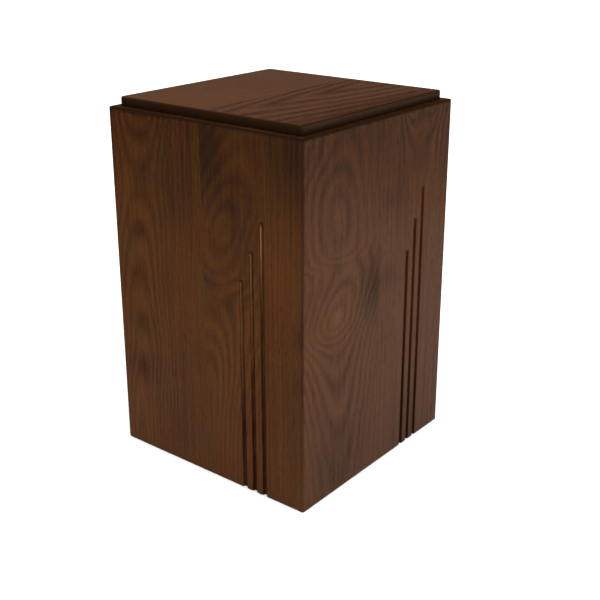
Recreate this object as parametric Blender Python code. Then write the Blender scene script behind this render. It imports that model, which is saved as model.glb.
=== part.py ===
"""Wooden cremation urn box: four mitred panels round a let-in base, with a lift-off lid.

Metres, +Z up. The origin is the middle of the underside. The front panel faces -Y
and the right panel faces +X; these two carry the routed grooves.
"""
import math

import bmesh
import bpy

# Body
SIDE = 0.175
BODY_HEIGHT = 1.5 * SIDE
WALL = 0.015
CORNER_RADIUS = 0.0015
EDGE_RADIUS = 0.0010

# Base board, let in between the panels and flush with their lower ends
BASE_THICKNESS = 0.012

# Lid: a board whose rebated underside drops between the panels
LEDGE = 0.0058
LID_RISE = 0.0064
LID_CORNER_RADIUS = 0.0018
LID_ARRIS = 0.0012
LID_FOOT_ARRIS = 0.0004
PLUG_DEPTH = 0.010
PLUG_CLEARANCE = 0.0005
PLUG_CHAMFER = 0.0010

# Grooves, measured on a panel's outer face from its middle and its lower end
GROOVE_WIDTH = 0.0038
GROOVE_DEPTH = 0.0025
GROOVE_PITCH = 0.0092
GROOVE_MIDDLE = 0.0436
GROOVE_LOWEST_TOP = 0.160
GROOVE_STEP = 0.022
GROOVE_COUNT = 3
GROOVE_FLOOR_RADIUS = 0.0008
CUTTER_RADIUS = 0.016

# Gap that pieces in contact keep between their meshes
GAP = 0.0003

# Steps in each rounded stretch, and how far a cutter reaches past the wood
ROUND_STEPS = 4
RUNOUT_STEPS = 10
FLOOR_STEPS = 3
OVERSHOOT = 0.004
RIM_PAST_FACE = 0.001

SMOOTH_ANGLE = math.radians(32.0)

STAINED_ASH = "5A3A26"
STAINED_ASH_LID = "61432F"
RAW_ASH = "B99366"

PANEL_TURNS = {"front_panel": 0, "right_panel": 1, "back_panel": 2, "left_panel": 3}
GROOVED_PANELS = ("front_panel", "right_panel")


def linear_rgba(hex_colour):
    """Turn an sRGB hex colour into the linear values that a shader takes."""
    channels = []
    for start in (0, 2, 4):
        value = int(hex_colour[start:start + 2], 16) / 255.0
        if value <= 0.04045:
            channels.append(value / 12.92)
        else:
            channels.append(((value + 0.055) / 1.055) ** 2.4)
    return (*channels, 1.0)


def wood(name, hex_colour, roughness):
    """A plain wood finish in one colour."""
    material = bpy.data.materials.new(name)
    material.use_nodes = True
    shader = material.node_tree.nodes["Principled BSDF"]
    shader.inputs["Base Color"].default_value = linear_rgba(hex_colour)
    shader.inputs["Roughness"].default_value = roughness
    shader.inputs["Metallic"].default_value = 0.0
    return material


def quarter(steps):
    """Angles from 0 to 90 degrees, both ends included."""
    return [math.radians(90.0) * step / steps for step in range(steps + 1)]


def loft(name, rings):
    """Mesh object from closed rings of equal length, lowest first, with flat ends."""
    shape = bmesh.new()
    loops = [[shape.verts.new(point) for point in ring] for ring in rings]
    count = len(loops[0])
    for lower, upper in zip(loops, loops[1:]):
        for index in range(count):
            following = (index + 1) % count
            shape.faces.new((lower[index], lower[following], upper[following], upper[index]))
    shape.faces.new(list(reversed(loops[0])))
    shape.faces.new(loops[-1])
    bmesh.ops.recalc_face_normals(shape, faces=shape.faces[:])
    mesh = bpy.data.meshes.new(name)
    shape.to_mesh(mesh)
    shape.free()
    mesh.shade_smooth()
    mesh.set_sharp_from_angle(angle=SMOOTH_ANGLE)
    item = bpy.data.objects.new(name, mesh)
    bpy.context.collection.objects.link(item)
    return item


def rounded_square(half, radius, height):
    """Ring of a square with round corners, anticlockwise seen from above."""
    ring = []
    for corner in range(4):
        turn = math.radians(90.0) * corner
        for angle in quarter(ROUND_STEPS):
            x = half - radius + radius * math.cos(angle)
            y = half - radius + radius * math.sin(angle)
            ring.append((
                x * math.cos(turn) - y * math.sin(turn),
                x * math.sin(turn) + y * math.cos(turn),
                height,
            ))
    return ring


def panel_ring(inset, height):
    """Ring round a mitred panel whose outer face is drawn in by inset.

    The panel stands with its outer face on y = 0 and its thickness towards +y.
    Both ends are cut at 45 degrees and keep half a gap to the mitre plane.
    """
    half = SIDE / 2.0
    mitre_setback = GAP / math.sqrt(2.0)
    inner = half - WALL - mitre_setback
    radius = CORNER_RADIUS - inset
    last = math.radians(45.0) - math.asin(GAP / (2.0 * radius))
    centre_x = half - CORNER_RADIUS
    right_end = []
    for step in range(ROUND_STEPS + 1):
        angle = last * step / ROUND_STEPS
        right_end.append((
            centre_x + radius * math.sin(angle),
            CORNER_RADIUS - radius * math.cos(angle),
            height,
        ))
    left_end = [(-x, y, z) for x, y, z in reversed(right_end)]
    return left_end + right_end + [(inner, WALL, height), (-inner, WALL, height)]


def panel(name, finish):
    """One upright panel of the body, with its outer arrises eased."""
    rings = []
    for angle in quarter(ROUND_STEPS):
        inset = EDGE_RADIUS * (1.0 - math.sin(angle))
        height = EDGE_RADIUS * (1.0 - math.cos(angle))
        rings.append(panel_ring(inset, height))
    for angle in reversed(quarter(ROUND_STEPS)):
        inset = EDGE_RADIUS * (1.0 - math.sin(angle))
        height = BODY_HEIGHT - EDGE_RADIUS * (1.0 - math.cos(angle))
        rings.append(panel_ring(inset, height))
    item = loft(name, rings)
    item.data.materials.append(finish)
    turn = math.radians(90.0) * PANEL_TURNS[name]
    item.rotation_euler = (0.0, 0.0, turn)
    item.location = (math.sin(turn) * SIDE / 2.0, -math.cos(turn) * SIDE / 2.0, 0.0)
    return item


def groove_section(x, top):
    """Side view of one groove at a distance x from its middle, as a closed ring.

    The floor runs straight up to the middle of the disc cutter, whose rim then carries it out
    of the face at top. Towards the groove's sides the floor rises in a small round.
    """
    across = abs(x) - (GROOVE_WIDTH / 2.0 - GROOVE_FLOOR_RADIUS)
    lift = 0.0
    if across > 0.0:
        lift = GROOVE_FLOOR_RADIUS - math.sqrt(max(GROOVE_FLOOR_RADIUS ** 2 - across ** 2, 0.0))
    rim = CUTTER_RADIUS - lift
    axis_depth = GROOVE_DEPTH - CUTTER_RADIUS
    runout = math.sqrt(CUTTER_RADIUS ** 2 - axis_depth ** 2)
    axis_height = top - runout
    exit_angle = math.acos((-RIM_PAST_FACE - axis_depth) / rim)
    ring = [(x, -OVERSHOOT, -OVERSHOOT), (x, axis_depth + rim, -OVERSHOOT)]
    for step in range(RUNOUT_STEPS + 1):
        angle = exit_angle * step / RUNOUT_STEPS
        ring.append((
            x,
            axis_depth + rim * math.cos(angle),
            axis_height + rim * math.sin(angle),
        ))
    ring.append((x, -OVERSHOOT, axis_height + rim * math.sin(exit_angle)))
    return ring


def groove_stations():
    """Distances across a groove at which its side view is drawn."""
    half = GROOVE_WIDTH / 2.0
    right = []
    for step in range(FLOOR_STEPS + 1):
        angle = math.radians(90.0) * step / FLOOR_STEPS
        right.append(half - GROOVE_FLOOR_RADIUS * (1.0 - math.sin(angle)))
    return [-x for x in reversed(right)] + right


def cut_grooves(item):
    """Rout the stepped grooves near the right-hand edge of a panel."""
    for index in range(GROOVE_COUNT):
        top = GROOVE_LOWEST_TOP + index * GROOVE_STEP
        sections = [groove_section(x, top) for x in groove_stations()]
        cutter = loft(f"{item.name}_cutter_{index + 1}", sections)
        cutter.parent = item
        cutter.location = (GROOVE_MIDDLE + (index - 1) * GROOVE_PITCH, 0.0, 0.0)
        cutter.hide_render = True
        cutter.display_type = "WIRE"
        cut = item.modifiers.new(f"groove_{index + 1}", "BOOLEAN")
        cut.operation = "DIFFERENCE"
        cut.solver = "EXACT"
        cut.object = cutter


def base_panel(finish):
    """The board between the panels that closes the box below."""
    half = SIDE / 2.0 - WALL - GAP
    rings = [
        rounded_square(half, EDGE_RADIUS, 0.0),
        rounded_square(half, EDGE_RADIUS, BASE_THICKNESS),
    ]
    item = loft("base_panel", rings)
    item.data.materials.append(finish)
    return item


def lid(finish):
    """The lid board, with its underside on the panels and its plug between them."""
    plug = SIDE / 2.0 - WALL - PLUG_CLEARANCE
    half = SIDE / 2.0 - LEDGE
    rings = [
        rounded_square(plug - PLUG_CHAMFER, LID_CORNER_RADIUS, -PLUG_DEPTH),
        rounded_square(plug, LID_CORNER_RADIUS, PLUG_CHAMFER - PLUG_DEPTH),
        rounded_square(plug, LID_CORNER_RADIUS, 0.0),
        rounded_square(half - LID_FOOT_ARRIS, LID_CORNER_RADIUS - LID_FOOT_ARRIS, 0.0),
        rounded_square(half, LID_CORNER_RADIUS, LID_FOOT_ARRIS),
    ]
    for angle in reversed(quarter(ROUND_STEPS)):
        inset = LID_ARRIS * (1.0 - math.sin(angle))
        height = LID_RISE - LID_ARRIS * (1.0 - math.cos(angle))
        rings.append(rounded_square(half - inset, LID_CORNER_RADIUS - inset, height))
    item = loft("lid", rings)
    item.data.materials.append(finish)
    item.location = (0.0, 0.0, BODY_HEIGHT + GAP)
    return item


def main():
    for item in list(bpy.data.objects):
        bpy.data.objects.remove(item, do_unlink=True)
    for name in PANEL_TURNS:
        side = panel(name, wood(f"{name}_stained_ash", STAINED_ASH, 0.42))
        if name in GROOVED_PANELS:
            cut_grooves(side)
    base_panel(wood("base_panel_raw_ash", RAW_ASH, 0.6))
    lid(wood("lid_stained_ash", STAINED_ASH_LID, 0.40))


main()
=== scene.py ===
"""Looks of a square wooden urn box: stained ash boards, a lift-off lid and a pale studio.

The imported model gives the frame, in metres with +Z up. The front board faces -Y and the
right board faces +X; both carry three routed grooves near their right-hand edge.
"""
import math
from typing import NamedTuple

import bmesh
import bpy
from bpy.props import FloatProperty, FloatVectorProperty, PointerProperty
from bpy.types import Operator, Panel, PropertyGroup
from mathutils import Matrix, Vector


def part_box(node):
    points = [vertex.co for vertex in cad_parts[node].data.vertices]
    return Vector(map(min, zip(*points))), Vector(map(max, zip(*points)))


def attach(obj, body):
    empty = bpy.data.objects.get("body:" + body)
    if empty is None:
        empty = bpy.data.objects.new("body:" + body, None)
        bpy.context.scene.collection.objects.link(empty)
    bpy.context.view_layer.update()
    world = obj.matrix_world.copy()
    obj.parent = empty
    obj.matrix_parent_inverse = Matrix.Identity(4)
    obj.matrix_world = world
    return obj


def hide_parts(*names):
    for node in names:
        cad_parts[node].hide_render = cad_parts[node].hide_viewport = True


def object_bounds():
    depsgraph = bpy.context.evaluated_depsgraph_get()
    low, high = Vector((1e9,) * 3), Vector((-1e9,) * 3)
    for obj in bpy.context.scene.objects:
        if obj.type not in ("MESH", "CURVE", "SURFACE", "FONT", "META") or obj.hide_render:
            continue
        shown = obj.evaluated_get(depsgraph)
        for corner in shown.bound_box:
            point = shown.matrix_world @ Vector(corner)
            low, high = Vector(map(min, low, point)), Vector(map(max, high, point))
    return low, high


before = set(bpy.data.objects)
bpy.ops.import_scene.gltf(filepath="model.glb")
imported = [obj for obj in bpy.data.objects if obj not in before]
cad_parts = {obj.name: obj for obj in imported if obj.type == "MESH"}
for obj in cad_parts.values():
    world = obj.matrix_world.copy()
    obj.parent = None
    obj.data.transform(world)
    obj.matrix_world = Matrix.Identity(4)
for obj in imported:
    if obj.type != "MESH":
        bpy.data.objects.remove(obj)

bl_info = {
    "name": "Stained Ash Urn Box",
    "version": (1, 0, 0),
    "blender": (4, 5, 0),
    "location": "View3D > Sidebar > Urn Box",
    "description": "Builds the boards, lid, base and studio of a stained ash urn box",
    "category": "Object",
}

MM = 0.001

# Places read from the frame
BOX_LOW, BOX_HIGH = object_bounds()
SIDE = BOX_HIGH.x - BOX_LOW.x
HALF = SIDE / 2.0
HALF_MM = HALF / MM
BODY_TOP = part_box("front_panel")[1].z
LID_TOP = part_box("lid")[1].z
LID_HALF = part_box("lid")[1].x
PLUG_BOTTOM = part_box("lid")[0].z
BASE_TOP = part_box("base_panel")[1].z

# Sizes that the solids share but the frame doesn't state
WALL = 15.0 * MM
CORNER_RADIUS = 1.5 * MM
LID_CORNER_RADIUS = 2.4 * MM
LID_FOOT_ARRIS = 0.4 * MM
PLUG_CLEARANCE = 0.5 * MM
PLUG_CHAMFER = 1.0 * MM
GROOVE_WIDTH = 3.8 * MM
GROOVE_DEPTH = 2.5 * MM
GROOVE_PITCH = 9.2 * MM
GROOVE_MIDDLE = 43.6 * MM
GROOVE_LOWEST_TOP = 160.0 * MM
GROOVE_STEP = 22.0 * MM
GROOVE_COUNT = 3
GROOVE_FLOOR_RADIUS = 0.8 * MM
CUTTER_RADIUS = 16.0 * MM
# A run-out stops just short of its feather edge, and the face is whole a little above it
RUNOUT_SHARE = 0.995
ABOVE_RUNOUT = 0.6 * MM

# Steps in each rounded stretch
ROUND_STEPS = 8
FLOOR_STEPS = 5
ARRIS_STEPS = 3
RUNOUT_STEPS = 22
# Edges flatter than this are shaded smooth
SMOOTH_ANGLE = math.radians(35.0)

# Studio: the camera as in the photo, and where the light comes from
CAMERA_PLACE = (0.4588, -0.5588, 0.3959)
CAMERA_PITCH = math.radians(19.88)
CAMERA_TURN = math.radians(38.44)
CAMERA_SHIFT = -0.05

# Soft lights: degrees from the front towards the right, degrees up, spread in degrees, strength,
# and whether the lacquer mirrors them, because no polarising filter is in front
SOFT_LIGHTS = {
    "overhead_softbox": (0.0, 90.0, 60.0, 2.03, False),
    "key_softbox": (60.0, 62.0, 70.0, 1.79, False),
    "front_fill": (20.0, 20.0, 80.0, 0.54, False),
    "right_fill": (95.0, 25.0, 80.0, 0.36, False),
    "right_rim": (135.0, 10.0, 70.0, 0.35, True),
    "left_rim": (270.0, 35.0, 70.0, 0.20, True),
    "rear_rim": (225.0, 30.0, 60.0, 0.060, True),
}
# White cards lying on the floor: place of the middle, width, depth and brightness
CARD_HEIGHT = 0.2 * MM
BOUNCE_CARDS = {
    "front_foot_left": (-0.115, -0.119, 0.19, 0.062, 0.20),
    "front_foot_right": (0.035, -0.119, 0.11, 0.062, 0.17),
    "front_near_left": (-0.180, -0.1875, 0.16, 0.075, 0.24),
    "front_near_middle": (-0.070, -0.1875, 0.06, 0.075, 0.17),
    "front_near_right": (0.025, -0.1875, 0.13, 0.075, 0.12),
    "front_far_left": (-0.290, -0.2725, 0.20, 0.095, 0.14),
    "front_far_middle": (-0.155, -0.2725, 0.07, 0.095, 0.09),
    "front_far_right": (-0.045, -0.2725, 0.15, 0.095, 0.05),
    "front_end_left": (-0.430, -0.390, 0.26, 0.14, 0.08),
    "right_foot": (0.114, 0.13, 0.052, 0.54, 0.45),
    "right_near": (0.170, 0.18, 0.06, 0.64, 0.49),
    "right_middle": (0.235, 0.22, 0.07, 0.72, 0.45),
    "right_far": (0.450, 0.23, 0.36, 0.74, 0.34),
}

# Patterns that are alike on the whole board: size in mm across the grain, along it and into the
# wood, detail and roughness of the noise, and a number that sets each apart
GRAIN_PATTERNS = {
    "fibres": ((1.2, 40.0, 1.2), 3.0, 0.6, 0.0),
    "streaks": ((3.0, 150.0, 3.0), 2.0, 0.5, 2.0),
    # Pores are 0.2 mm wide and 3 to 6 mm long; drawn wider, because finer ones don't show
    "pores": ((0.5, 6.0, 0.5), 1.0, 0.5, 5.0),
    "blotches": ((38.0, 80.0, 38.0), 3.0, 0.5, 7.0),
    "dyes": ((20.0, 40.0, 20.0), 2.0, 0.5, 8.0),
}
# Patterns of a single stave: size in mm, and a number that sets each apart
WAVER_SIZE, WAVER_APART = (22.0, 60.0, 22.0), 0.0
PATCH_SIZE, PATCH_APART = (25.0, 50.0, 25.0), 3.0
EDGE_CUT_SIZE, EDGE_CUT_APART = (1.7, 160.0, 1.7), 4.0

# How far the patterns move the stain between its dark (0) and its light colour (1)
RING_DEPTH = 0.20
EDGE_CUT_DEPTH = 0.70
PORE_DEPTH = 0.34
GRAIN_DEPTHS = {"fibres": 0.54, "streaks": 0.40, "blotches": 0.30}
# Between which values of its noise a pattern goes from nothing to full, or from one strength to
# another
PATCH_RANGE = {"From Min": 0.30, "From Max": 0.70, "To Min": 0.55, "To Max": 1.25}
PORE_RANGE = {"From Min": 0.55, "From Max": 0.72}
DYE_RANGE = {"From Min": 0.35, "From Max": 0.65}
# Factors on the stain's colour where its dyes part
GREENER = (0.96, 1.06, 1.06, 1.0)
REDDER = (1.05, 0.93, 0.96, 1.0)

# Growth rings. A board is glued up from two staves, and each stave was sawn past the tree's
# pith. Along the board (mm from its lower end) the pith wanders sideways (mm from the board's
# left edge), and the cut passes it at a depth counted in rings. The rings' spacing is in mm.
FIGURE_LENGTH = 263.0
MOST_RINGS = 10.0
WIDEST_SPACING = 10.0
MOST_CONTRAST = 3.0
# From one late line to the next: share of the way, and how light the stain is
RING_PROFILE = ((0.0, 0.9), (0.12, 0.75), (0.5, 0.0), (0.8, 0.5), (1.0, 0.9))
RING_SPAN = 1.6
RING_DARKEST = -0.6
WAVER_REACH = 3.0
LEAN_REACH = 0.7

# Where the stain is darker on the boards and the lid, and where painted shade falls on the ledge
# and at the foot of the lid's edge: heights in mm, or how far up a surface faces
RIM_RANGE = {"From Min": 165.0, "From Max": 275.0}
BAND_RANGE = {"From Min": BODY_TOP / MM - 2.4, "From Max": BODY_TOP / MM - 0.7, "To Max": 0.75}
LID_FOOT_SHADE_RANGE = {"From Min": BODY_TOP / MM + 0.8, "From Max": BODY_TOP / MM + 4.8}
FLAT_RANGE = {"From Min": 0.95, "From Max": 0.99}
ARRIS_RANGE = {"From Min": 0.10, "From Max": 0.35}
WIPED_RANGE = {"From Min": -0.10, "From Max": -0.35, "To Max": 0.4}
LID_ARRIS_PROFILE = ((0.2, 0.0), (0.5, 0.8), (0.9, 0.8), (0.97, 0.0))
LID_EDGE_PROFILE = ((0.0, 1.0), (0.93, 1.0), (0.995, 0.0))

# Gathered stain and painted shade in the grooves: by depth in mm, by length in mm below a
# groove's top, and by height in mm over which a groove gets lighter higher up. The corners lie
# far from the board's middle.
SHADE_RANGE = {"From Min": 0.05, "From Max": 0.35}
SHALLOW_RANGE = {"From Max": 7.0}
HIGHER_UP_RANGE = {"From Min": 50.0, "From Max": 110.0}
HIGHER_UP_SHADE_LOSS = 0.75
CORNERS_FROM = 80.0
# Burnished wood and a painted highlight on the groove wall that faces the light: by share of a
# length in mm below the top, by share of the groove's depth, and by how far the wall faces
# sideways
RUNOUT_LENGTH = 40.0
RUNOUT_PROFILE = ((0.0, 0.0), (0.07, 0.0), (0.18, 0.9), (0.40, 1.0), (0.7, 0.3), (1.0, 0.05))
WALL_PROFILE = ((0.0, 0.0), (0.30, 0.0), (0.42, 1.0), (0.72, 1.0), (0.90, 0.1))
LIT_RANGE = {"From Min": 0.05, "From Max": 0.45}
FIRST_BARE_AND_HIGHLIGHT, BARE_AND_HIGHLIGHT_GROWTH = 0.03, 0.24
HIGHER_UP_BARE_AND_HIGHLIGHT = 0.38

# Lacquer and wood fibre bend light alike
IOR = 1.5
# The lacquer lies level over light stain, and is sunken and dull below this tone
SUNKEN_RANGE = {"From Max": 0.52, "To Min": 0.75, "To Max": 0.0}
DULL_ROUGHNESS = 0.85
SUNKEN_DEPTH = 0.05 * MM
SUNKEN_STRENGTH = 0.35
# Bare wood under the box, with fibres 50 mm long and 1.5 mm apart
SANDED_FIBRES = (50.0 * MM, 1.5 * MM, 1.0)
SANDED_ROUGHNESS = 0.75
SANDED_STRENGTH = 0.3

# Between the nodes of a material, as its editor shows them
NODE_SPACING = 180.0

# Numbers that set the boards, the lid and the staves apart
BOARD_SEED_STEP = 20.0
LID_SEED = 90.0
STAVE_SEED_STEP = 10.0


class Stave(NamedTuple):
    """One stave of a board. Each of the first four is a plan of (mm along, value) pairs. The
    ripple is a wave's height, length and middle in mm. The rings fade from one place across to
    another, down to a share. Each spot has a middle across and along, a half width and half
    length, and how much lighter it is."""

    pith: tuple
    depth: tuple
    spacing: tuple
    contrast: tuple
    tone: float = 0.0
    ripple: tuple = ()
    lean: float = 0.0
    sharpness: float = 2.0
    fade: tuple = ()
    spots: tuple = ()


RIGHT_STAVES = (
    Stave(
        pith=((0, 41), (62, 40), (95, 38), (133, 36), (150, 43), (166, 48), (180, 42), (204, 38),
              (229, 37), (247, 43), (263, 45)),
        depth=((0, 8.6), (28, 8.0), (62, 7.0), (95, 6.0), (111, 5.0), (124, 3.0), (133, 2.0),
               (142, 2.4), (165, 4.0), (171, 4.2), (178, 3.1), (190, 2.4), (204, 2.15),
               (229, 3.0), (247, 4.0), (263, 4.6)),
        spacing=((0, 4.6), (62, 4.6), (95, 5.0), (133, 5.9), (150, 6.6), (171, 7.8), (204, 7.6),
                 (263, 7.6)),
        contrast=((0, 0.5), (40, 0.6), (65, 1.1), (150, 1.05), (180, 0.85), (263, 0.85)),
        fade=(64, 88, 0.45),
        spots=((80, 146, 22, 35, -0.32), (40, 93, 24, 20, -0.12), (36, 206, 14, 24, 0.16),
               (36, 136, 24, 22, 0.20), (22, 178, 16, 22, 0.10), (40, 30, 40, 40, -0.10),
               (6, 116, 20, 30, 0.14), (44, 16, 80, 80, -0.14)),
    ),
    Stave(
        pith=((0, 132), (263, 135)),
        depth=((0, 9.4), (150, 9.0), (230, 8.4), (244, 8.0), (263, 6.4)),
        spacing=((0, 4.2), (263, 4.6)),
        contrast=((0, 0.55), (222, 0.55), (242, 1.05), (263, 1.05)),
        ripple=(5.0, 31.0, 136.0), fade=(124, 102, 0.3),
        spots=((97, 146, 16, 14, -0.14), (97, 203, 16, 12, -0.15), (131, 4, 80, 50, -0.16)),
    ),
)

FRONT_STAVES = (
    Stave(
        pith=((0, 16), (46, 18), (84, 23), (122, 22), (161, 24), (188, 27), (235, 28), (263, 31)),
        depth=((0, 1.2), (46, 2.0), (84, 3.0), (122, 4.0), (161, 5.0), (188, 6.0), (212, 6.6),
               (235, 6.0), (247, 5.4), (263, 4.4)),
        spacing=((0, 3.6), (263, 3.6)),
        contrast=((0, 1.0), (263, 1.0)),
        sharpness=2.8, fade=(38, 60, 0.40),
        spots=((26, 179, 16, 14, -0.26), (22, 106, 18, 12, -0.18), (24, 70, 26, 20, -0.18),
               (60, 205, 34, 40, -0.14), (70, 132, 24, 46, 0.10), (12, 30, 24, 34, 0.16),
               # The last spot darkens the ledge towards the board's left end: painted shadow of the
               # lid.
               (30, 262.5, 44, 4, -0.55)),
    ),
    Stave(
        pith=((0, 84), (50, 87), (90, 92), (120, 93), (140, 95), (154, 98), (175, 101),
              (193, 107), (215, 115), (240, 124), (263, 132)),
        depth=((0, 0.6), (50, 1.2), (85, 2.1), (110, 3.4), (130, 4.6), (142, 5.0), (154, 4.2),
               (166, 3.0), (180, 2.3), (193, 1.6), (203, 2.1), (225, 3.3), (240, 4.0), (263, 5.0)),
        spacing=((0, 4.0), (100, 4.8), (142, 7.0), (170, 7.0), (193, 5.6), (215, 7.0), (263, 7.0)),
        contrast=((0, 0.7), (60, 0.8), (85, 1.2), (135, 1.2), (160, 0.9), (263, 0.6)),
        fade=(126, 146, 0.15),
        spots=((90, 152, 16, 14, -0.26), (100, 139, 20, 13, -0.26), (90, 240, 22, 42, -0.36),
               (110, 196, 34, 46, -0.20), (158, 176, 20, 44, 0.16), (120, 245, 14, 16, 0.10),
               (168, 250, 30, 44, -0.16), (172, 130, 8, 14, -0.20), (172, 95, 8, 14, -0.20),
               (176, 131, 4, 300, -0.35), (107, 193, 9, 15, 0.20)),
    ),
)

LID_STAVES = (
    Stave(
        pith=((0, 64), (175, 62)),
        depth=((0, 6.3), (20, 6.0), (48, 5.5), (75, 5.0), (105, 4.5), (140, 4.0), (175, 3.5)),
        spacing=((0, 7.4), (175, 7.4)),
        contrast=((0, 1.7), (175, 1.7)),
        tone=-0.02, lean=0.15, sharpness=1.4, fade=(26, 6, 0.35),
        spots=((4, 60, 30, 130, -0.26),),
    ),
    Stave(
        pith=((0, 60), (175, 70)),
        depth=((0, 6.0), (175, 6.0)),
        spacing=((0, 4.2), (175, 4.6)),
        contrast=((0, 0.5), (175, 0.5)),
        tone=0.20,
        spots=((130, 8, 60, 90, 0.13),),
    ),
)

BACK_STAVES = (
    Stave(
        pith=((0, 58), (70, 54), (140, 50), (200, 46), (263, 44)),
        depth=((0, 6.8), (60, 5.6), (120, 4.6), (190, 3.4), (263, 2.2)),
        spacing=((0, 5.0), (263, 5.6)),
        contrast=((0, 0.9), (263, 0.9)),
    ),
    Stave(
        pith=((0, 150), (263, 158)),
        depth=((0, 3.0), (110, 4.4), (263, 5.6)),
        spacing=((0, 4.4), (263, 4.2)),
        contrast=((0, 0.7), (263, 0.7)),
    ),
)

LEFT_STAVES = (
    Stave(
        pith=((0, 20), (120, 26), (263, 22)),
        depth=((0, 5.4), (90, 4.2), (180, 3.2), (263, 4.8)),
        spacing=((0, 4.6), (263, 4.8)),
        contrast=((0, 0.8), (263, 0.8)),
    ),
    Stave(
        pith=((0, 128), (80, 131), (170, 126), (263, 133)),
        depth=((0, 2.2), (60, 3.2), (130, 4.6), (200, 5.6), (263, 6.4)),
        spacing=((0, 5.2), (263, 4.8)),
        contrast=((0, 0.9), (263, 0.9)),
    ),
)


def linear_rgb(hex_colour):
    """Turn an sRGB hex colour into the linear, opaque colour that a shader takes."""
    channels = []
    for start in (0, 2, 4):
        value = int(hex_colour[start:start + 2], 16) / 255.0
        if value <= 0.04045:
            channels.append(value / 12.92)
        else:
            channels.append(((value + 0.055) / 1.055) ** 2.4)
    return (*channels, 1.0)


def add(tree, kind, inputs=None, stops=(), points=(), **settings):
    """Add a shader node with its settings, and set or link its inputs, which are keyed by name
    or number. A node given as an input stands for its first output. stops are a ramp's
    (place, grey) pairs and points a curve's (x, y) pairs."""
    made = tree.nodes.new("ShaderNode" + kind)
    made.location.x = NODE_SPACING * len(tree.nodes)
    for name, value in settings.items():
        setattr(made, name, value)
    for key, value in (inputs or {}).items():
        if isinstance(value, bpy.types.Node):
            value = value.outputs[0]
        if isinstance(value, bpy.types.NodeSocket):
            tree.links.new(value, made.inputs[key])
        else:
            made.inputs[key].default_value = value
    if stops:
        elements = made.color_ramp.elements
        while len(elements) < len(stops):
            elements.new(1.0)
        for element, (place, grey) in zip(elements, stops):
            element.position = place
            element.color = (grey, grey, grey, 1.0)
    if points:
        curve = made.mapping.curves[0]
        while len(curve.points) < len(points):
            curve.points.new(0.5, 0.5)
        for point, place in zip(curve.points, points):
            point.location = place
        made.mapping.update()
    return made


def new_material(name, values):
    """Make a material with these values on its shader's own sockets. Also return its nodes and
    that shader."""
    material = bpy.data.materials.new(name)
    material.use_nodes = True
    tree = material.node_tree
    shader = tree.nodes["Principled BSDF"]
    for socket, value in values.items():
        shader.inputs[socket].default_value = value
    return material, tree, shader


def growth_rings(tree, stave, across, along, seed):
    """Light and dark of one stave's growth rings, about -0.6 to 0.8 at a contrast of 1, and
    lightest on each late line."""
    if stave.ripple:
        height, length, middle = stave.ripple
        phase = add(tree, "Math", {0: across, 1: 2.0 * math.pi / length,
                                   2: -2.0 * math.pi * middle / length},
                    operation="MULTIPLY_ADD")
        wave = add(tree, "Math", {0: phase}, operation="COSINE")
        along = add(tree, "Math", {0: wave, 1: -height, 2: along}, operation="MULTIPLY_ADD")
    # A curve works from 0 to 1, so each plan is divided by the most that it may reach.
    share = add(tree, "Math", {0: along, 1: FIGURE_LENGTH}, operation="DIVIDE")
    planned = []
    for plan, most in (
        (stave.pith, SIDE / MM),
        (stave.depth, MOST_RINGS),
        (stave.spacing, WIDEST_SPACING),
        (stave.contrast, MOST_CONTRAST),
    ):
        points = [(place / FIGURE_LENGTH, value / most) for place, value in plan]
        curve = add(tree, "FloatCurve", {"Value": share}, points=points)
        planned.append(add(tree, "Math", {0: curve, 1: most}, operation="MULTIPLY"))
    pith, depth, spacing, contrast = planned
    # The lines waver by about half a millimetre.
    place = add(tree, "CombineXYZ", {0: across, 1: along})
    drawn = add(tree, "VectorMath", {0: place, 1: WAVER_SIZE}, operation="DIVIDE")
    waver = add(tree, "TexNoise", {"Vector": drawn, "W": seed + WAVER_APART, "Scale": 1.0,
                                   "Detail": 2.0}, noise_dimensions="4D")
    shifted = add(tree, "Math", {0: waver, 1: WAVER_REACH, 2: across}, operation="MULTIPLY_ADD")
    centred = add(tree, "Math", {0: shifted, 1: WAVER_REACH / 2.0}, operation="SUBTRACT")
    from_pith = add(tree, "Math", {0: centred, 1: pith}, operation="SUBTRACT")
    rings_out = add(tree, "Math", {0: from_pith, 1: spacing}, operation="DIVIDE")
    if stave.lean:
        # The rings are wider to one side of the pith.
        side = add(tree, "Math", {0: rings_out, 1: LEAN_REACH}, operation="MULTIPLY")
        side = add(tree, "Math", {0: side}, operation="TANH")
        stretch = add(tree, "Math", {0: side, 1: stave.lean, 2: 1.0}, operation="MULTIPLY_ADD")
        rings_out = add(tree, "Math", {0: rings_out, 1: stretch}, operation="MULTIPLY")
    # The nearer the sharpness is to 1, the more pointed are the arches; above 2 they are blunt.
    sideways = add(tree, "Math", {0: rings_out}, operation="ABSOLUTE")
    sideways = add(tree, "Math", {0: sideways, 1: stave.sharpness}, operation="POWER")
    downwards = add(tree, "Math", {0: depth, 1: stave.sharpness}, operation="POWER")
    summed = add(tree, "Math", {0: sideways, 1: downwards}, operation="ADD")
    radius = add(tree, "Math", {0: summed, 1: 1.0 / stave.sharpness}, operation="POWER")
    phase = add(tree, "Math", {0: radius}, operation="FRACT")
    line = add(tree, "ValToRGB", {"Fac": phase}, stops=RING_PROFILE)
    rings = add(tree, "Math", {0: line, 1: RING_SPAN, 2: RING_DARKEST}, operation="MULTIPLY_ADD")
    return add(tree, "Math", {0: rings, 1: contrast}, operation="MULTIPLY")


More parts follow.
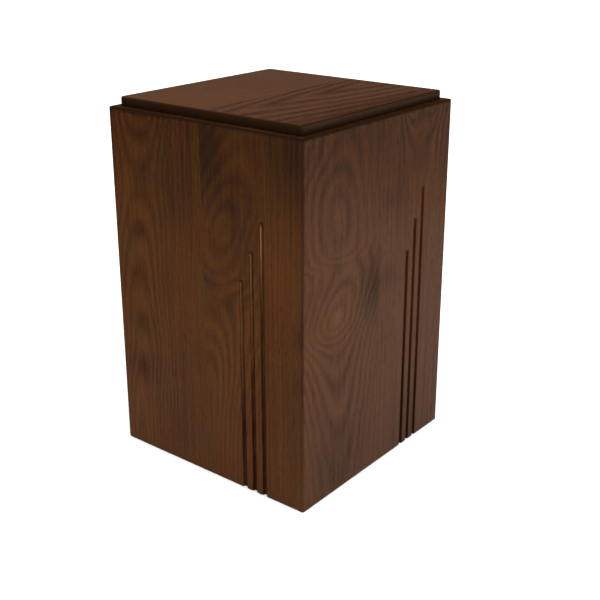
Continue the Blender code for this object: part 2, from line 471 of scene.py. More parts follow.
def stave_tone(tree, stave, across, along, seed):
    """How light the stain is on one stave, about 0 for the middle tone."""
    rings = growth_rings(tree, stave, across, along, seed)
    place = add(tree, "CombineXYZ", {0: across, 1: along})
    # The rings show more in some stretches than in others.
    drawn = add(tree, "VectorMath", {0: place, 1: PATCH_SIZE}, operation="DIVIDE")
    patchy = add(tree, "TexNoise", {"Vector": drawn, "W": seed + PATCH_APART, "Scale": 1.0,
                                    "Detail": 2.0}, noise_dimensions="4D")
    shown = add(tree, "MapRange", {"Value": patchy, **PATCH_RANGE})
    tone = add(tree, "Math", {0: rings, 1: shown}, operation="MULTIPLY")
    level = stave.tone
    if stave.fade:
        # Far from the pith the rings are cut on edge and merge into straight streaks.
        near, far, least = stave.fade
        kept = add(tree, "MapRange", {"Value": across, "From Min": near, "From Max": far,
                                      "To Min": 1.0, "To Max": least},
                   interpolation_type="SMOOTHSTEP")
        tone = add(tree, "Math", {0: tone, 1: kept}, operation="MULTIPLY")
        drawn = add(tree, "VectorMath", {0: place, 1: EDGE_CUT_SIZE}, operation="DIVIDE")
        straight = add(tree, "TexNoise", {"Vector": drawn, "W": seed + EDGE_CUT_APART,
                                          "Scale": 1.0, "Detail": 1.0}, noise_dimensions="4D")
        straight = add(tree, "Math", {0: straight, 1: 0.5}, operation="SUBTRACT")
        edge_cut = add(tree, "Math", {0: 1.0, 1: kept}, operation="SUBTRACT")
        straight = add(tree, "Math", {0: straight, 1: edge_cut}, operation="MULTIPLY")
        level = add(tree, "Math", {0: straight, 1: EDGE_CUT_DEPTH, 2: level},
                    operation="MULTIPLY_ADD")
    tone = add(tree, "Math", {0: tone, 1: RING_DEPTH, 2: level}, operation="MULTIPLY_ADD")
    for middle_across, middle_along, half_width, half_length, strength in stave.spots:
        moved = add(tree, "VectorMath", {0: place, 1: (middle_across, middle_along, 0.0)},
                    operation="SUBTRACT")
        scaled = add(tree, "VectorMath", {0: moved, 1: (half_width, half_length, 1.0)},
                     operation="DIVIDE")
        spot = add(tree, "TexGradient", {"Vector": scaled}, gradient_type="SPHERICAL")
        tone = add(tree, "Math", {0: spot, 1: strength, 2: tone}, operation="MULTIPLY_ADD")
    return tone


def wood_tone(tree, staves, across, along, deep, seed):
    """How light the wood takes the stain, about 0.5 for the middle tone. Also return where the
    open pores are, and the patches in which the stain's dyes part."""
    left, right = (
        stave_tone(tree, stave, across, along, seed + STAVE_SEED_STEP * index)
        for index, stave in enumerate(staves)
    )
    past_joint = add(tree, "Math", {0: across, 1: HALF_MM}, operation="GREATER_THAN")
    tone = add(tree, "Mix", {0: past_joint, 2: left, 3: right})

    grain = add(tree, "CombineXYZ", {0: across, 1: along, 2: deep})
    patterns = {}
    for name, (size, detail, roughness, apart) in GRAIN_PATTERNS.items():
        drawn = add(tree, "VectorMath", {0: grain, 1: size}, operation="DIVIDE")
        patterns[name] = add(tree, "TexNoise", {"Vector": drawn, "W": seed + apart, "Scale": 1.0,
                                                "Detail": detail, "Roughness": roughness},
                             noise_dimensions="4D")
    for name, strength in GRAIN_DEPTHS.items():
        shown = add(tree, "Math", {0: patterns[name], 1: 0.5}, operation="SUBTRACT")
        tone = add(tree, "Math", {0: shown, 1: strength, 2: tone}, operation="MULTIPLY_ADD")
    pores = add(tree, "MapRange", {"Value": patterns["pores"], **PORE_RANGE})
    tone = add(tree, "Math", {0: pores, 1: -PORE_DEPTH, 2: tone}, operation="MULTIPLY_ADD")
    tone = add(tree, "Math", {0: tone, 1: 0.5}, operation="ADD")
    return tone, pores, patterns["dyes"]


def stained_ash(name, staves, finish, grain_axis, seed, drift=0.4, painted_ledge_shadow=0.0,
                groove_bare_and_highlight=None):
    """Planed ash, wiped with a dark brown stain and sprayed with satin lacquer.

    The open pores of the early wood drink the stain, so the rings, fibres and pores show
    darker and warmer than the hard late wood, where the lacquer lies level and adds a soft,
    greyish sheen. The stain is darkest where it gathered, on arrises and in grooves, and painted
    shade darkens the grooves, the ledge and the foot of the lid's edge.

    drift is how far the stain turns redder or greener from patch to patch. The ledge argument is
    how much darker the flat top of a board is: a painted shadow of the lid. The groove argument
    is how bare and how brightly lit the grooves' tops are, burnished wood with a painted
    highlight, or None for a board without grooves.
    """
    material, tree, shader = new_material(name, {
        "Specular IOR Level": finish.lacquer_gloss, "IOR": IOR, "Metallic": 0.0,
    })
    # Millimetres from a board's left edge, up it, and into it. On the lid they are from the box's
    # right edge, from its front edge, and above the floor.
    upright_board = grain_axis == "Z"
    if upright_board:
        scale, offset = (1.0 / MM, 1.0 / MM, 1.0 / MM), (HALF_MM, 0.0, 0.0)
    else:
        scale, offset = (-1.0 / MM, 1.0 / MM, 1.0 / MM), (HALF_MM, HALF_MM, 0.0)
    place = add(tree, "TexCoord")
    millimetres = add(tree, "VectorMath", {0: place.outputs["Object"], 1: scale, 2: offset},
                      operation="MULTIPLY_ADD")
    parts = add(tree, "SeparateXYZ", {0: millimetres})
    across = parts.outputs["X"]
    along, deep = parts.outputs["Y"], parts.outputs["Z"]
    if upright_board:
        along, deep = deep, along

    tone, pores, dyes = wood_tone(tree, staves, across, along, deep, seed)
    # The lacquer stays level and shiny on the hard late wood, and sinks into the early wood.
    sunken = add(tree, "MapRange", {"Value": tone, **SUNKEN_RANGE})
    facing = add(tree, "SeparateXYZ", {0: place.outputs["Normal"]})
    upward = add(tree, "Math", {0: facing.outputs["Z"]}, operation="ABSOLUTE")
    if upright_board:
        # The stain is darker towards the boards' upper ends.
        rim = add(tree, "MapRange", {"Value": along, **RIM_RANGE}, interpolation_type="SMOOTHSTEP")
        tone = add(tree, "Math", {0: rim, 1: -finish.rim_darkening, 2: tone},
                   operation="MULTIPLY_ADD")
        # Painted shadow of the lid darkens the flat top of the board, the ledge.
        flat = add(tree, "MapRange", {"Value": upward, **FLAT_RANGE})
        tone = add(tree, "Math", {0: flat, 1: -painted_ledge_shadow, 2: tone}, operation="MULTIPLY_ADD")
    # Grooves: gathered stain and painted shade, and on the front board burnished wood with a
    # painted highlight.
    if groove_bare_and_highlight is not None:
        tone, bare_and_highlight = groove_tone(tree, tone, across, along, deep, facing, finish, groove_bare_and_highlight)

    stain = add(tree, "Mix", {0: tone, 6: finish.stain_dark, 7: finish.stain_light},
                data_type="RGBA").outputs[2]
    parted = add(tree, "MapRange", {"Value": dyes, **DYE_RANGE, "To Min": 0.5 - 0.5 * drift,
                                    "To Max": 0.5 + 0.5 * drift})
    tint = add(tree, "Mix", {0: parted, 6: GREENER, 7: REDDER}, data_type="RGBA").outputs[2]
    stain = add(tree, "Mix", {0: 1.0, 6: stain, 7: tint}, data_type="RGBA",
                blend_type="MULTIPLY").outputs[2]
    # Burnished wood and painted highlight on the grooves' lit walls.
    if groove_bare_and_highlight:
        stain = add(tree, "Mix", {0: bare_and_highlight, 6: stain, 7: finish.stain_thin_and_highlight},
                    data_type="RGBA").outputs[2]
    if upright_board:
        stain, dull = board_arrises(tree, stain, along, facing, flat, finish)
    else:
        stain, dull = lid_edges(tree, stain, deep, facing, upward, finish)
    tree.links.new(stain, shader.inputs["Base Color"])
    dull = add(tree, "Math", {0: dull, 1: sunken}, operation="MAXIMUM")
    roughness = add(tree, "MapRange", {"Value": dull, "To Min": finish.lacquer_roughness,
                                       "To Max": DULL_ROUGHNESS})
    tree.links.new(roughness.outputs[0], shader.inputs["Roughness"])

    # The lacquer sinks a few hundredths of a millimetre over the pores and early wood.
    level = add(tree, "Math", {0: tone, 1: pores}, operation="SUBTRACT")
    relief = add(tree, "Bump", {"Strength": SUNKEN_STRENGTH, "Distance": SUNKEN_DEPTH,
                                "Height": level})
    tree.links.new(relief.outputs[0], shader.inputs["Normal"])
    return material


def board_arrises(tree, stain, along, facing, flat, finish):
    """Darken a board's arrises, where the cut ends of the pores drink the stain, and a band of
    some 2 mm below the upper one. The lower one was wiped. Also return how dull they are,
    because the lacquer is thin there."""
    arris = add(tree, "MapRange", {"Value": facing.outputs["Z"], **ARRIS_RANGE})
    wiped = add(tree, "MapRange", {"Value": facing.outputs["Z"], **WIPED_RANGE})
    arris = add(tree, "Math", {0: arris, 1: wiped}, operation="MAXIMUM")
    band = add(tree, "MapRange", {"Value": along, **BAND_RANGE}, interpolation_type="SMOOTHSTEP")
    gathered = add(tree, "Math", {0: arris, 1: band}, operation="MAXIMUM")
    gathered = add(tree, "Math", {0: gathered, 1: flat}, operation="SUBTRACT", use_clamp=True)
    stain = add(tree, "Mix", {0: gathered, 6: stain, 7: finish.stain_gathered_and_shade},
                data_type="RGBA").outputs[2]
    return stain, gathered


def lid_edges(tree, stain, deep, facing, upward, finish):
    """Stain the lid's edges darker; the end grain of the front and back edges drank most. Towards
    their foot, beside the ledge, they darken further: painted shade. Also return how dull the
    foot is, because the spray gun hardly reached it."""
    height = add(tree, "MapRange", {"Value": deep, **LID_FOOT_SHADE_RANGE},
                 interpolation_type="SMOOTHSTEP")
    end_grain = add(tree, "Math", {0: facing.outputs["Y"]}, operation="ABSOLUTE")
    edge_colour = add(tree, "Mix", {0: end_grain, 6: finish.stain_edge, 7: finish.stain_end_grain},
                data_type="RGBA").outputs[2]
    arris = add(tree, "ValToRGB", {"Fac": upward}, stops=LID_ARRIS_PROFILE)
    long_grain = add(tree, "Math", {0: 1.0, 1: end_grain}, operation="SUBTRACT")
    arris = add(tree, "Math", {0: arris, 1: long_grain}, operation="MULTIPLY")
    edge_colour = add(tree, "Mix", {0: arris, 6: edge_colour, 7: finish.stain_gathered_and_shade},
                data_type="RGBA").outputs[2]
    # Painted shade at the foot of the edge, beside the ledge.
    edge_colour = add(tree, "Mix", {0: height, 6: finish.stain_gathered_and_shade, 7: edge_colour},
                data_type="RGBA").outputs[2]
    edge = add(tree, "ValToRGB", {"Fac": upward}, stops=LID_EDGE_PROFILE)
    stain = add(tree, "Mix", {0: edge, 6: stain, 7: edge_colour}, data_type="RGBA").outputs[2]
    return stain, add(tree, "Math", {0: 1.0, 1: height}, operation="SUBTRACT")


def groove_tone(tree, tone, across, along, deep, facing, finish, bare_and_highlight_strength):
    """Darken the routed grooves, where stain gathered, with painted shade deeper in and lower
    down. Also return how bare the wood is on the side of each run-out that the cutter burnished
    hard, which is also the wall facing the light and gets a painted highlight, or None when there
    is none."""
    inside = add(tree, "MapRange", {"Value": deep, **SHADE_RANGE})
    from_middle = add(tree, "Math", {0: across, 1: HALF_MM}, operation="SUBTRACT")
    reach = add(tree, "Math", {0: from_middle}, operation="ABSOLUTE")
    off_corner = add(tree, "Math", {0: reach, 1: CORNERS_FROM}, operation="LESS_THAN")
    inside = add(tree, "Math", {0: inside, 1: off_corner}, operation="MULTIPLY")
    # Count the grooves from 0, each with half a pitch of board on either side.
    first = (GROOVE_MIDDLE - GROOVE_COUNT / 2.0 * GROOVE_PITCH) / MM
    counted = add(tree, "Math", {0: from_middle, 1: first}, operation="SUBTRACT")
    counted = add(tree, "Math", {0: counted, 1: GROOVE_PITCH / MM}, operation="DIVIDE")
    counted = add(tree, "Math", {0: counted}, operation="FLOOR")
    top = add(tree, "Math", {0: counted, 1: GROOVE_STEP / MM, 2: GROOVE_LOWEST_TOP / MM},
              operation="MULTIPLY_ADD")
    below = add(tree, "Math", {0: top, 1: along}, operation="SUBTRACT")
    # Higher up, a groove gets less painted shade.
    lighter = add(tree, "MapRange", {"Value": along, **HIGHER_UP_RANGE})
    shade = add(tree, "Math", {0: lighter, 1: -HIGHER_UP_SHADE_LOSS, 2: 1.0}, operation="MULTIPLY_ADD")
    shade = add(tree, "Math", {0: shade, 1: -finish.groove_stain_and_shade}, operation="MULTIPLY")
    # Less stain and less painted shade where the groove is still shallow.
    deepening = add(tree, "MapRange", {"Value": below, **SHALLOW_RANGE})
    shade = add(tree, "Math", {0: shade, 1: deepening}, operation="MULTIPLY")
    tone = add(tree, "Math", {0: inside, 1: shade, 2: tone}, operation="MULTIPLY_ADD")
    if not bare_and_highlight_strength:
        return tone, None
    # The higher a groove reaches, the barer its top and the brighter its painted highlight.
    share = add(tree, "Math", {0: below, 1: RUNOUT_LENGTH}, operation="DIVIDE")
    near_top = add(tree, "FloatCurve", {"Value": share}, points=RUNOUT_PROFILE)
    squared = add(tree, "Math", {0: counted, 1: counted}, operation="MULTIPLY")
    height_share = add(tree, "Math", {0: squared, 1: BARE_AND_HIGHLIGHT_GROWTH, 2: FIRST_BARE_AND_HIGHLIGHT},
                       operation="MULTIPLY_ADD")
    bare_and_highlight = add(tree, "Math", {0: near_top, 1: height_share}, operation="MULTIPLY")
    bare_and_highlight = add(tree, "Math", {0: lighter, 1: HIGHER_UP_BARE_AND_HIGHLIGHT, 2: bare_and_highlight}, operation="MULTIPLY_ADD")
    # The painted highlight falls only on the wall that faces the light.
    lit_side = add(tree, "MapRange", {"Value": facing.outputs["X"], **LIT_RANGE, "To Max": bare_and_highlight_strength})
    bare_and_highlight = add(tree, "Math", {0: bare_and_highlight, 1: lit_side}, operation="MULTIPLY")
    depth_share = add(tree, "Math", {0: deep, 1: GROOVE_DEPTH / MM}, operation="DIVIDE")
    halfway_in = add(tree, "ValToRGB", {"Fac": depth_share}, stops=WALL_PROFILE)
    bare_and_highlight = add(tree, "Math", {0: bare_and_highlight, 1: halfway_in}, operation="MULTIPLY", use_clamp=True)
    return tone, bare_and_highlight


def raw_ash(finish):
    """Sanded ash under the box: a thin wash of stain and no lacquer, so it is dull and dry."""
    material, tree, shader = new_material("sanded_ash", {
        "Roughness": SANDED_ROUGHNESS, "IOR": IOR, "Metallic": 0.0,
    })
    place = add(tree, "TexCoord")
    drawn = add(tree, "VectorMath", {0: place.outputs["Object"], 1: SANDED_FIBRES},
                operation="DIVIDE")
    fibre = add(tree, "TexNoise", {"Vector": drawn, "Scale": 1.0, "Detail": 3.0})
    wash = add(tree, "Mix", {0: fibre, 6: finish.stain_dark, 7: finish.stain_light},
               data_type="RGBA")
    tree.links.new(wash.outputs[2], shader.inputs["Base Color"])
    relief = add(tree, "Bump", {"Strength": SANDED_STRENGTH, "Distance": SUNKEN_DEPTH,
                                "Height": fibre})
    tree.links.new(relief.outputs[0], shader.inputs["Normal"])
    return material


def quarter(steps):
    """Angles from 0 to 90 degrees, both ends included."""
    return [math.radians(90.0) * step / steps for step in range(steps + 1)]


def lofted_piece(name, rings, material):
    """Object from closed rings of equal length, lowest first, with flat ends and soft arrises."""
    shape = bmesh.new()
    loops = [[shape.verts.new(point) for point in ring] for ring in rings]
    count = len(loops[0])
    for lower, upper in zip(loops, loops[1:]):
        for index in range(count):
            following = (index + 1) % count
            shape.faces.new((lower[index], lower[following], upper[following], upper[index]))
    shape.faces.new(list(reversed(loops[0])))
    shape.faces.new(loops[-1])
    bmesh.ops.recalc_face_normals(shape, faces=shape.faces[:])
    mesh = bpy.data.meshes.new(name)
    shape.to_mesh(mesh)
    shape.free()
    mesh.shade_smooth()
    mesh.set_sharp_from_angle(angle=SMOOTH_ANGLE)
    mesh.materials.append(material)
    piece = bpy.data.objects.new(name, mesh)
    bpy.context.collection.objects.link(piece)
    flat = piece.modifiers.new("flat_faces", "WEIGHTED_NORMAL")
    flat.keep_sharp = True
    return piece


def rounded_square(half, radius, height):
    """Ring of a square with round corners, anticlockwise seen from above."""
    ring = []
    for corner in range(4):
        turn = math.radians(90.0) * corner
        for angle in quarter(ROUND_STEPS):
            x = half - radius + radius * math.cos(angle)
            y = half - radius + radius * math.sin(angle)
            ring.append((x * math.cos(turn) - y * math.sin(turn),
                         x * math.sin(turn) + y * math.cos(turn), height))
    return ring


def groove_across(depth, inset, arris):
    """Right half of a groove's cross-section, (x, y) from its floor out to the board's face."""
    below = max(depth - inset, 0.0)
    eased = min(arris, 0.5 * below)
    straight = below - eased
    if straight >= GROOVE_FLOOR_RADIUS:
        last = math.radians(90.0)
    else:
        last = math.acos((GROOVE_FLOOR_RADIUS - straight) / GROOVE_FLOOR_RADIUS)
    start = GROOVE_WIDTH / 2.0 - GROOVE_FLOOR_RADIUS
    points = []
    for step in range(FLOOR_STEPS + 1):
        angle = last * step / FLOOR_STEPS
        points.append((
            start + GROOVE_FLOOR_RADIUS * math.sin(angle),
            inset + below - GROOVE_FLOOR_RADIUS * (1.0 - math.cos(angle)),
        ))
    wall = points[-1][0]
    for angle in quarter(ARRIS_STEPS):
        points.append((
            wall + eased * (1.0 - math.cos(angle)),
            inset + eased * (1.0 - math.sin(angle)),
        ))
    return points


def uncut_across(inset, arris):
    """Points in the place of a groove's half where the face is whole, evenly spaced."""
    count = FLOOR_STEPS + ARRIS_STEPS + 2
    edge = GROOVE_WIDTH / 2.0 + arris
    return [(edge * (step + 0.5) / (count - 0.5), inset) for step in range(count)]


def board_stations(grooved, edge_radius):
    """Heights of a board's rings, each with its inset and how deep each groove is there."""
    axis_depth = GROOVE_DEPTH - CUTTER_RADIUS
    full = [GROOVE_DEPTH] * GROOVE_COUNT
    stations = []
    for angle in quarter(ROUND_STEPS):
        inset = edge_radius * (1.0 - math.sin(angle))
        stations.append((edge_radius * (1.0 - math.cos(angle)), inset, full))
    if grooved:
        last = math.acos(-axis_depth / CUTTER_RADIUS) * RUNOUT_SHARE
        depths = list(full)
        for index in range(GROOVE_COUNT):
            top = GROOVE_LOWEST_TOP + index * GROOVE_STEP
            axis_height = top - CUTTER_RADIUS * math.sin(last)
            for step in range(RUNOUT_STEPS + 1):
                angle = last * step / RUNOUT_STEPS
                depths[index] = axis_depth + CUTTER_RADIUS * math.cos(angle)
                height = axis_height + CUTTER_RADIUS * math.sin(angle)
                stations.append((height, 0.0, list(depths)))
            depths[index] = None
            stations.append((top + ABOVE_RUNOUT, 0.0, list(depths)))
    none = [None] * GROOVE_COUNT
    for angle in reversed(quarter(ROUND_STEPS)):
        inset = edge_radius * (1.0 - math.sin(angle))
        stations.append((BODY_TOP - edge_radius * (1.0 - math.cos(angle)), inset, none))
    return stations


def board_ring(height, inset, depths, grooved, seam, arris):
    """Ring round a mitred board at one height. Its outer face is on y = 0, drawn in by inset,
    and both ends are cut at 45 degrees. They meet the next board on the inside, and keep half a
    seam to the mitre plane on the outside."""
    radius = CORNER_RADIUS - inset
    last = math.radians(45.0) - math.asin(seam / (2.0 * radius))
    right_end = []
    for step in range(ROUND_STEPS + 1):
        angle = last * step / ROUND_STEPS
        right_end.append((
            HALF - CORNER_RADIUS + radius * math.sin(angle),
            CORNER_RADIUS - radius * math.cos(angle),
        ))
    left_end = [(-x, y) for x, y in reversed(right_end)]
    face = []
    if grooved:
        for index, depth in enumerate(depths):
            middle = GROOVE_MIDDLE + (index - (GROOVE_COUNT - 1) / 2.0) * GROOVE_PITCH
            if depth is None:
                across = uncut_across(inset, arris)
            else:
                across = groove_across(depth, inset, arris)
            face += [(middle - x, y) for x, y in reversed(across)]
            face += [(middle + x, y) for x, y in across]
    inner = HALF - WALL
    outline = left_end + face + right_end + [(inner, WALL), (-inner, WALL)]
    return [(x, y, height) for x, y in outline]


def side_board(name, node, quarter_turns, grooved, material, sizes):
    """One upright board of the body, in place of its solid."""
    rings = [
        board_ring(height, inset, depths, grooved, sizes.seam, sizes.groove_arris)
        for height, inset, depths in board_stations(grooved, sizes.board_arris)
    ]
    piece = lofted_piece(name, rings, material)
    turn = math.radians(90.0) * quarter_turns
    piece.rotation_euler = (0.0, 0.0, turn)
    piece.location = (math.sin(turn) * HALF, -math.cos(turn) * HALF, 0.0)
    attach(piece, "root")
    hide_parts(node)


def matt_paper(colour):
    """Seamless matt paper, with no sheen of its own."""
    values = {"Base Color": colour, "Roughness": 1.0, "Specular IOR Level": 0.0}
    return new_material("matt_paper", values)[0]


def pale_room(brightness):
    """Even light from all around. It looks as white as the floor, so that no horizon shows."""
    world = bpy.data.worlds.new("pale_room")
    world.use_nodes = True
    tree = world.node_tree
    backdrop = tree.nodes["Background"]
    backdrop.inputs["Color"].default_value = (1.0, 1.0, 1.0, 1.0)
    seen = add(tree, "LightPath")
    strength = add(tree, "Math", {0: seen.outputs["Is Camera Ray"], 1: 1.0 - brightness,
                                  2: brightness}, operation="MULTIPLY_ADD")
    tree.links.new(strength.outputs[0], backdrop.inputs["Strength"])
    world.cycles_visibility.glossy = False
    return world


def soft_lights(lamp_light):
    """Broad lights from far away."""
    lights = []
    for name, (turn, height, spread, strength, mirrored) in SOFT_LIGHTS.items():
        lamp = bpy.data.lights.new(name, "SUN")
        lamp.energy = strength * lamp_light
        lamp.angle = math.radians(spread)
        turn, height = math.radians(turn), math.radians(height)
        source = Vector((math.sin(turn) * math.cos(height),
                         -math.cos(turn) * math.cos(height), math.sin(height)))
        light = bpy.data.objects.new(name, lamp)
        light.rotation_euler = (-source).to_track_quat("-Z", "Y").to_euler()
        light.visible_glossy = mirrored
        lights.append(light)
    return lights


def bounce_cards(lamp_light):
    """White cards on the floor, which the lacquer mirrors."""
    cards = []
    for name, (x, y, width, depth, brightness) in BOUNCE_CARDS.items():
        lamp = bpy.data.lights.new(name, "AREA")
        lamp.shape = "RECTANGLE"
        lamp.size, lamp.size_y = width, depth
        lamp.energy = math.pi * width * depth * brightness * lamp_light
        card = bpy.data.objects.new(name, lamp)
        card.location = (x, y, CARD_HEIGHT)
        card.rotation_euler = (math.radians(180.0), 0.0, 0.0)
        card.visible_camera = False
        cards.append(card)
    return cards


class UrnSizes(PropertyGroup):
    """Sizes that a maker might change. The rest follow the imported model."""

    seam: FloatProperty(
        name="Seam", description="Hairline left between glued boards, the base and the lid",
        default=0.05 * MM, min=0.0, max=0.3 * MM, precision=5, unit="LENGTH",
    )
    board_arris: FloatProperty(
        name="Board arris", description="Radius on the boards' outer upper and lower edges",
        default=1.4 * MM, min=0.2 * MM, max=1.45 * MM, precision=4, unit="LENGTH",
    )
    groove_arris: FloatProperty(
        name="Groove arris", description="Radius on the edges of the routed grooves",
        default=0.25 * MM, min=0.05 * MM, max=0.6 * MM, precision=5, unit="LENGTH",
    )
    lid_arris: FloatProperty(
        name="Lid arris", description="Radius on the lid's upper edge",
        default=1.4 * MM, min=0.3 * MM, max=2.3 * MM, precision=4, unit="LENGTH",
    )


class UrnFinish(PropertyGroup):
    """Stain and lacquer, with painted shade and a painted highlight."""

    stain_dark: FloatVectorProperty(
        name="Dark stain", description="Stain at its darkest, in pores and early wood",
        default=linear_rgb("291405"), min=0.0, max=1.0, size=4, subtype="COLOR",
    )
    stain_light: FloatVectorProperty(
        name="Light stain", description="Stain at its lightest, on hard late wood",
        default=linear_rgb("553215"), min=0.0, max=1.0, size=4, subtype="COLOR",
    )
    # The lid's long-grain edges are stained darker than its top.
    stain_edge: FloatVectorProperty(
        name="Edge stain", description="Double coat of stain along the grain of the lid's edges",
        default=linear_rgb("301B09"), min=0.0, max=1.0, size=4, subtype="COLOR",
    )
    stain_end_grain: FloatVectorProperty(
        name="End-grain stain", description="Double coat of stain on the lid's end grain",
        default=linear_rgb("261406"), min=0.0, max=1.0, size=4, subtype="COLOR",
    )
    # Stain gathered on the arrises, and painted shade at the foot of the lid's edge
    stain_gathered_and_shade: FloatVectorProperty(
        name="Gathered stain", description="Stain on the arrises and at the foot of the lid's edge",
        default=linear_rgb("1E0C01"), min=0.0, max=1.0, size=4, subtype="COLOR",
    )
    # Burnished wood, and the painted highlight on the grooves' lit walls
    stain_thin_and_highlight: FloatVectorProperty(
        name="Thin stain", description="Burnished wood where a groove runs out and takes no stain",
        default=linear_rgb("9C6F48"), min=0.0, max=1.0, size=4, subtype="COLOR",
    )
    rim_darkening: FloatProperty(
        name="Rim shade", description="How much darker the stain is along the boards' upper ends",
        default=0.30, min=0.0, max=1.0, subtype="FACTOR",
    )
    # Gathered stain and painted shade inside the grooves
    groove_stain_and_shade: FloatProperty(
        name="Groove shade", description="How much darker the stain is inside the grooves",
        default=0.35, min=0.0, max=1.0, subtype="FACTOR",
    )
    lacquer_roughness: FloatProperty(
        name="Lacquer roughness", description="Roughness of the satin lacquer",
        default=0.22, min=0.0, max=1.0, subtype="FACTOR",
    )
    lacquer_gloss: FloatProperty(
        name="Lacquer gloss", description="Strength of the lacquer's reflection",
        default=0.15, min=0.0, max=1.0, subtype="FACTOR",
    )


class UrnStudio(PropertyGroup):
    """Floor, light and camera."""

    floor_colour: FloatVectorProperty(
        name="Floor", description="Colour of the seamless floor",
        default=linear_rgb("F4F4F3"), min=0.0, max=1.0, size=4, subtype="COLOR",
    )
    floor_size: FloatProperty(
        name="Floor size", description="Length of the floor's sides",
        default=40.0, min=2.0, unit="LENGTH",
    )
    room_light: FloatProperty(
        name="Room light", description="Brightness of the pale room around the box",
        default=0.56, min=0.0, max=5.0,
    )
    lamp_light: FloatProperty(
        name="Lamp light", description="Strength of all soft lights and cards together",
        default=1.0, min=0.0, max=10.0,
    )
    lens: FloatProperty(
        name="Lens", description="Focal length of the camera",
        default=60.72, min=20.0, max=200.0, unit="CAMERA",
    )


class URN_OT_side_boards(Operator):
    """Build the four upright boards, with grooves in the front and right ones"""

    bl_idname = "urn.side_boards"
    bl_label = "Side Boards"

    def execute(self, context):
        sizes, finish = context.scene.urn_sizes, context.scene.urn_finish
        # Name, solid, quarter turns, grooved, staves, drift, painted shadow on the ledge and
        # painted highlight in the grooves
        plans = (
            ("front_board", "front_panel", 0, True, FRONT_STAVES, 1.0, 0.0, 1.0),
            ("right_board", "right_panel", 1, True, RIGHT_STAVES, 0.4, 0.32, 0.0),
            ("back_board", "back_panel", 2, False, BACK_STAVES, 0.5, 0.0, None),
            ("left_board", "left_panel", 3, False, LEFT_STAVES, 0.5, 0.0, None),
        )
        for name, node, turns, grooved, staves, drift, shade, bare_and_highlight_strength in plans:
            material = stained_ash(f"stained_ash_{name}", staves, finish, "Z",
                                   BOARD_SEED_STEP * turns, drift, shade, bare_and_highlight_strength)
            side_board(name, node, turns, grooved, material, sizes)
        return {"FINISHED"}


class URN_OT_base_board(Operator):
    """Build the board that closes the box below"""

    bl_idname = "urn.base_board"
    bl_label = "Base Board"

    def execute(self, context):
        sizes, finish = context.scene.urn_sizes, context.scene.urn_finish
        half = HALF - WALL - sizes.seam
        rings = [rounded_square(half, sizes.board_arris, height) for height in (0.0, BASE_TOP)]
        piece = lofted_piece("base_board", rings, raw_ash(finish))
        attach(piece, "root")
        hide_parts("base_panel")
        return {"FINISHED"}


class URN_OT_lid_board(Operator):
    """Build the lid, with its plug between the boards and an eased upper edge"""

    bl_idname = "urn.lid_board"
    bl_label = "Lid"

    def execute(self, context):
        sizes, finish = context.scene.urn_sizes, context.scene.urn_finish
        plug = HALF - WALL - PLUG_CLEARANCE
        foot = BODY_TOP + sizes.seam
        rings = [
            rounded_square(plug - PLUG_CHAMFER, LID_CORNER_RADIUS, PLUG_BOTTOM),
            rounded_square(plug, LID_CORNER_RADIUS, PLUG_BOTTOM + PLUG_CHAMFER),
            rounded_square(plug, LID_CORNER_RADIUS, foot),
        ]
        for angle in quarter(ARRIS_STEPS):
            inset = LID_FOOT_ARRIS * (1.0 - math.sin(angle))
            height = foot + LID_FOOT_ARRIS * (1.0 - math.cos(angle))
            rings.append(rounded_square(LID_HALF - inset, LID_CORNER_RADIUS - inset, height))
        for angle in reversed(quarter(ROUND_STEPS)):
            inset = sizes.lid_arris * (1.0 - math.sin(angle))
            height = LID_TOP - sizes.lid_arris * (1.0 - math.cos(angle))
            rings.append(rounded_square(LID_HALF - inset, LID_CORNER_RADIUS - inset, height))
        material = stained_ash("stained_ash_lid", LID_STAVES, finish, "Y", LID_SEED)
        piece = lofted_piece("lid_board", rings, material)
        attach(piece, "root")
        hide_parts("lid")
        return {"FINISHED"}


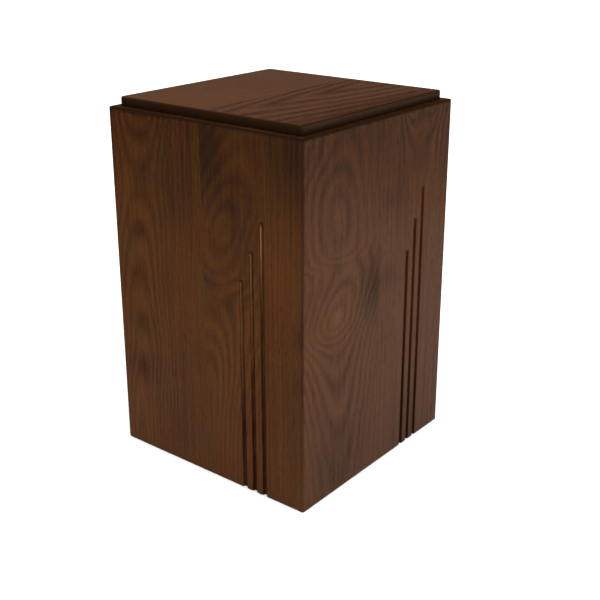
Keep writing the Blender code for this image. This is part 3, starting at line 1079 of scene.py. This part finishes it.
class URN_OT_studio(Operator):
    """Set up the pale floor, the soft light and the camera"""

    bl_idname = "urn.studio"
    bl_label = "Studio"

    def execute(self, context):
        scene, studio = context.scene, context.scene.urn_studio
        half = studio.floor_size / 2.0
        mesh = bpy.data.meshes.new("studio_floor")
        corners = [(-half, -half, 0.0), (half, -half, 0.0), (half, half, 0.0), (-half, half, 0.0)]
        mesh.from_pydata(corners, [], [(0, 1, 2, 3)])
        floor = bpy.data.objects.new("studio_floor", mesh)
        scene.collection.objects.link(floor)
        mesh.materials.append(matt_paper(studio.floor_colour))
        # The lacquer mirrors only the cards and the unpolarised lights.
        floor.visible_glossy = False
        scene.world = pale_room(studio.room_light)
        for light in (*soft_lights(studio.lamp_light), *bounce_cards(studio.lamp_light)):
            scene.collection.objects.link(light)

        view = bpy.data.cameras.new("camera")
        view.lens = studio.lens
        view.sensor_width = 36.0
        view.shift_y = CAMERA_SHIFT
        camera = bpy.data.objects.new("camera", view)
        camera.location = CAMERA_PLACE
        camera.rotation_euler = (math.radians(90.0) - CAMERA_PITCH, 0.0, CAMERA_TURN)
        scene.collection.objects.link(camera)
        scene.camera = camera
        scene.view_settings.view_transform = "Standard"
        return {"FINISHED"}


class URN_PT_builder(Panel):
    """Lists the sizes, the finish and the steps that build the box"""

    bl_label = "Urn Box"
    bl_space_type = "VIEW_3D"
    bl_region_type = "UI"
    bl_category = "Urn Box"

    def draw(self, context):
        layout, scene = self.layout, context.scene
        for settings in (scene.urn_sizes, scene.urn_finish, scene.urn_studio):
            box = layout.box()
            for name in settings.__annotations__:
                box.prop(settings, name)
        for step in STEPS:
            layout.operator(step.bl_idname)


STEPS = (URN_OT_side_boards, URN_OT_base_board, URN_OT_lid_board, URN_OT_studio)
CLASSES = (UrnSizes, UrnFinish, UrnStudio, *STEPS, URN_PT_builder)


def register():
    for item in CLASSES:
        bpy.utils.register_class(item)
    bpy.types.Scene.urn_sizes = PointerProperty(type=UrnSizes)
    bpy.types.Scene.urn_finish = PointerProperty(type=UrnFinish)
    bpy.types.Scene.urn_studio = PointerProperty(type=UrnStudio)


def unregister():
    del bpy.types.Scene.urn_studio
    del bpy.types.Scene.urn_finish
    del bpy.types.Scene.urn_sizes
    for item in reversed(CLASSES):
        bpy.utils.unregister_class(item)


def main():
    register()
    bpy.ops.urn.side_boards()
    bpy.ops.urn.base_board()
    bpy.ops.urn.lid_board()
    bpy.ops.urn.studio()


if __name__ == "__main__":
    main()
